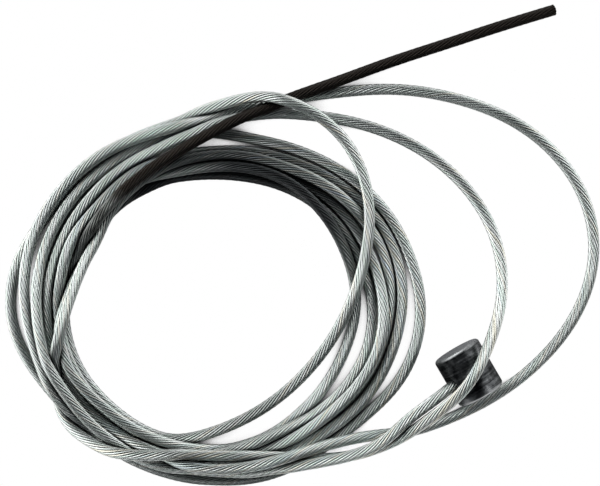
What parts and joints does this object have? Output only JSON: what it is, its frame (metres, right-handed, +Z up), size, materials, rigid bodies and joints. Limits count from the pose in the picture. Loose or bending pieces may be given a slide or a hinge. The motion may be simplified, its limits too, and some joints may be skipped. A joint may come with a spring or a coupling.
{
  "type": "bicycle brake inner cable",
  "caption": "Stranded steel inner cable of a bicycle brake, lying in a loose flat coil, with a dark cast barrel nipple on one end and a bare cut tip on the other.",
  "frame": {"origin": "on the floor under the middle of the box of the whole coil, nipple and free end", "axes": "+Z up from the floor that the coil lies on, +X to the right of the picture and along the coil's longest side, +Y towards the picture's top"},
  "size_m": [0.0849, 0.069, 0.0088],
  "materials": {
    "galvanised_steel": "satin galvanised wires with dark grooves between them, brownish black towards the cut tip",
    "cast_zinc": "dark, slightly mottled cast metal"
  },
  "bodies": {
    "root": {"cable_strand": "galvanised_steel", "nipple": "cast_zinc"}
  },
  "joints": []
}
